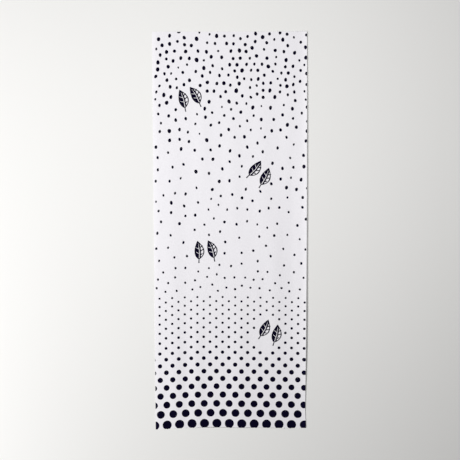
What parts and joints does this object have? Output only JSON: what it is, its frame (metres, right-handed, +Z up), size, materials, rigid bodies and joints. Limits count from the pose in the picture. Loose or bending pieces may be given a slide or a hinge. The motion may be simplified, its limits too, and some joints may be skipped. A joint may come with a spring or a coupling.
{
  "type": "tenugui hand towel",
  "caption": "Long, narrow cotton hand towel laid flat, with raw cut ends, woven selvedges, soft lengthwise ripples and a dyed dot pattern that grows towards one end.",
  "frame": {"origin": "on the surface that the towel lies on, under the middle of its outline", "axes": "+X across the cloth, towards the curled right selvedge; +Y along the cloth, towards the head end with the small scattered dots; +Z up, out of the dyed face"},
  "size_m": [0.3466, 0.9036, 0.0049],
  "materials": {
    "towel": "plain-woven bleached cotton, matt, with dots and leaves dyed through in dark indigo"
  },
  "bodies": {
    "root": {"towel": "towel"}
  },
  "joints": []
}
